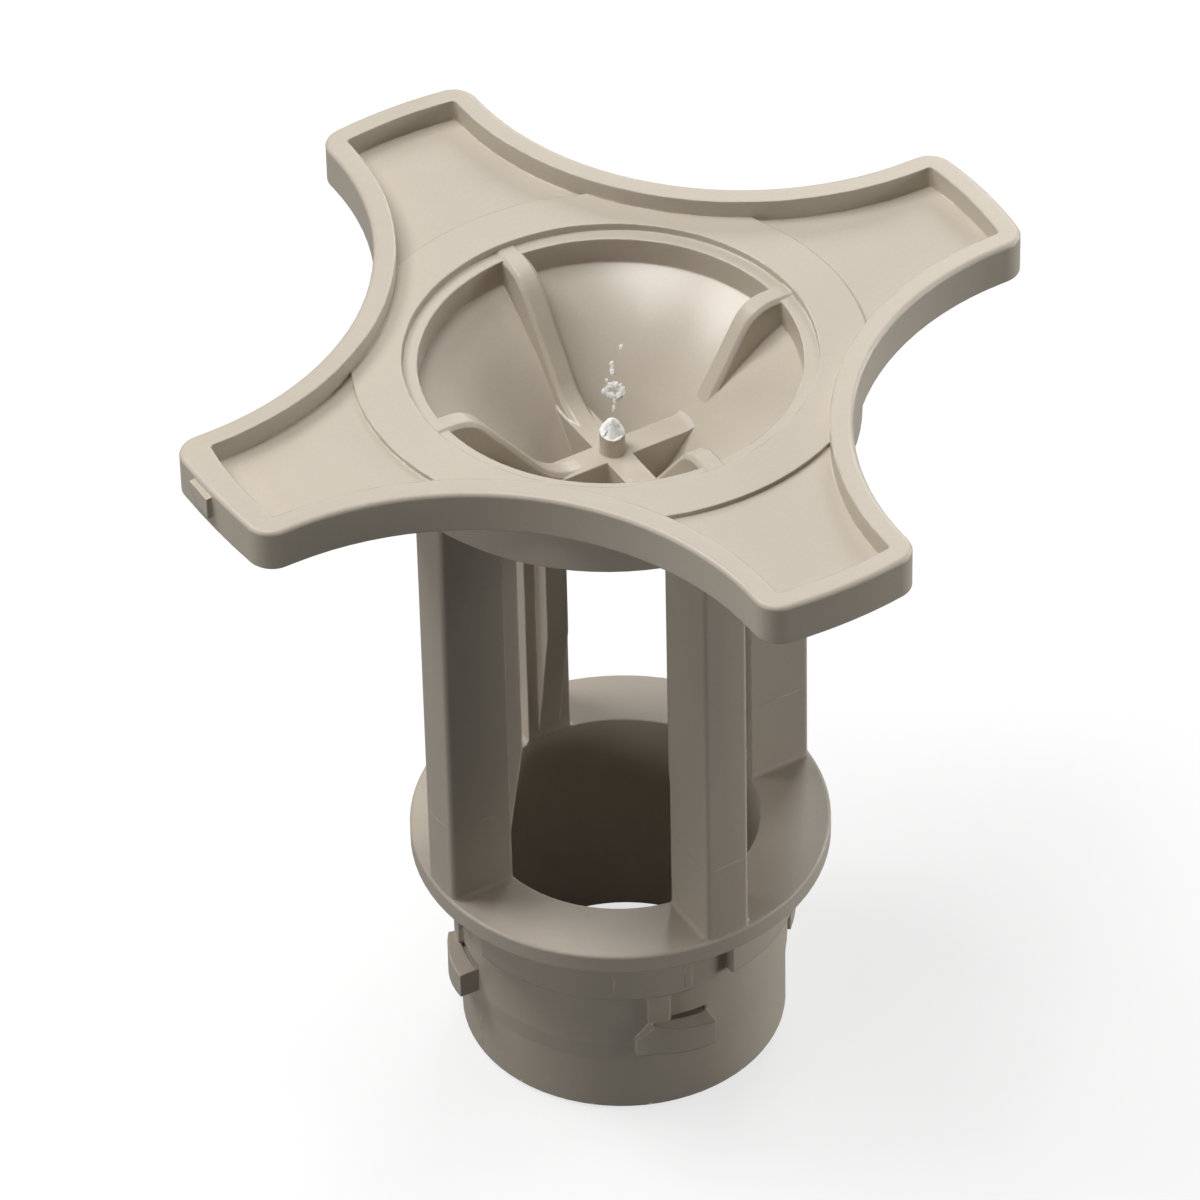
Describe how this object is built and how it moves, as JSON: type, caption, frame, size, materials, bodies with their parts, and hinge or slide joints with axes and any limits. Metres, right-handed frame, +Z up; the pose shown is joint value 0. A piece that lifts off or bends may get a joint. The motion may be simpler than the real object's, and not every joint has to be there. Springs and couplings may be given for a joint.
{
  "type": "dishwasher wash arm holder",
  "caption": "Star-handled cage with a ribbed funnel, round flange and bayonet spigot that carries water up to a dishwasher wash arm and holds the arm on its flange.",
  "frame": {"origin": "centre of the spigot's bottom rim, at the mouth of its bore", "axes": "+Z up the bore towards the star; the four star arms and the four legs lie on the X and Y axes, and -X is the slightly longer arm, with a small tab on its end"},
  "size_m": [0.0863, 0.0852, 0.086],
  "materials": {
    "moulded_plastic": "satin"
  },
  "bodies": {
    "root": {"wash_arm_holder": "moulded_plastic"}
  },
  "joints": []
}
